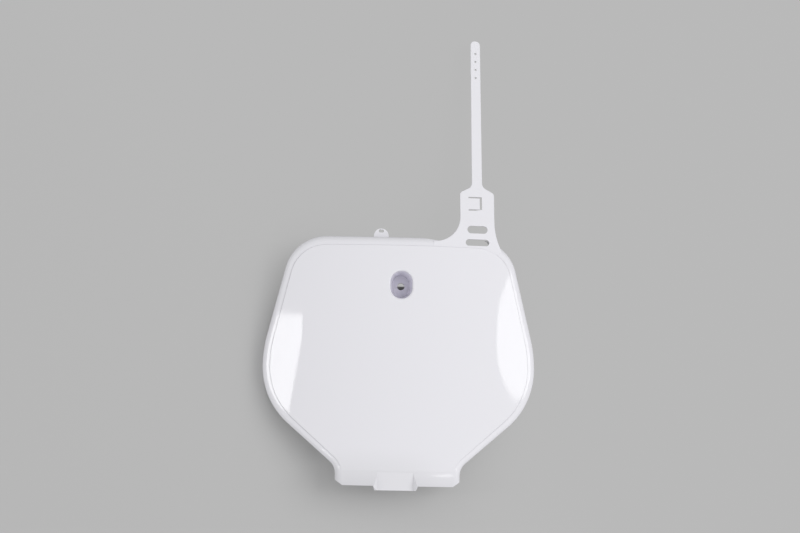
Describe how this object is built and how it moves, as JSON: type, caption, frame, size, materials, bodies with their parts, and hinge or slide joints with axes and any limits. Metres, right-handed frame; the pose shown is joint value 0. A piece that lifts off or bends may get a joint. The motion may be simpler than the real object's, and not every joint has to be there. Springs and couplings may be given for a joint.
{
  "type": "racing number board",
  "caption": "Convex white moulded board with a raised panel, a bolt well, a flared foot and a strap for the handlebar, made to carry a rider's number at the front of a motorcycle.",
  "frame": {"origin": "middle of the bolt hole, on the seat at the back of the well", "axes": "+X across the board, +Y up the board to the tip of the strap, +Z out of the face along the bolt hole"},
  "size_m": [0.2456, 0.4094, 0.0458],
  "materials": {
    "white_plastic": "smooth gloss moulded polypropylene"
  },
  "bodies": {
    "root": {"number_board": "white_plastic"}
  },
  "joints": []
}
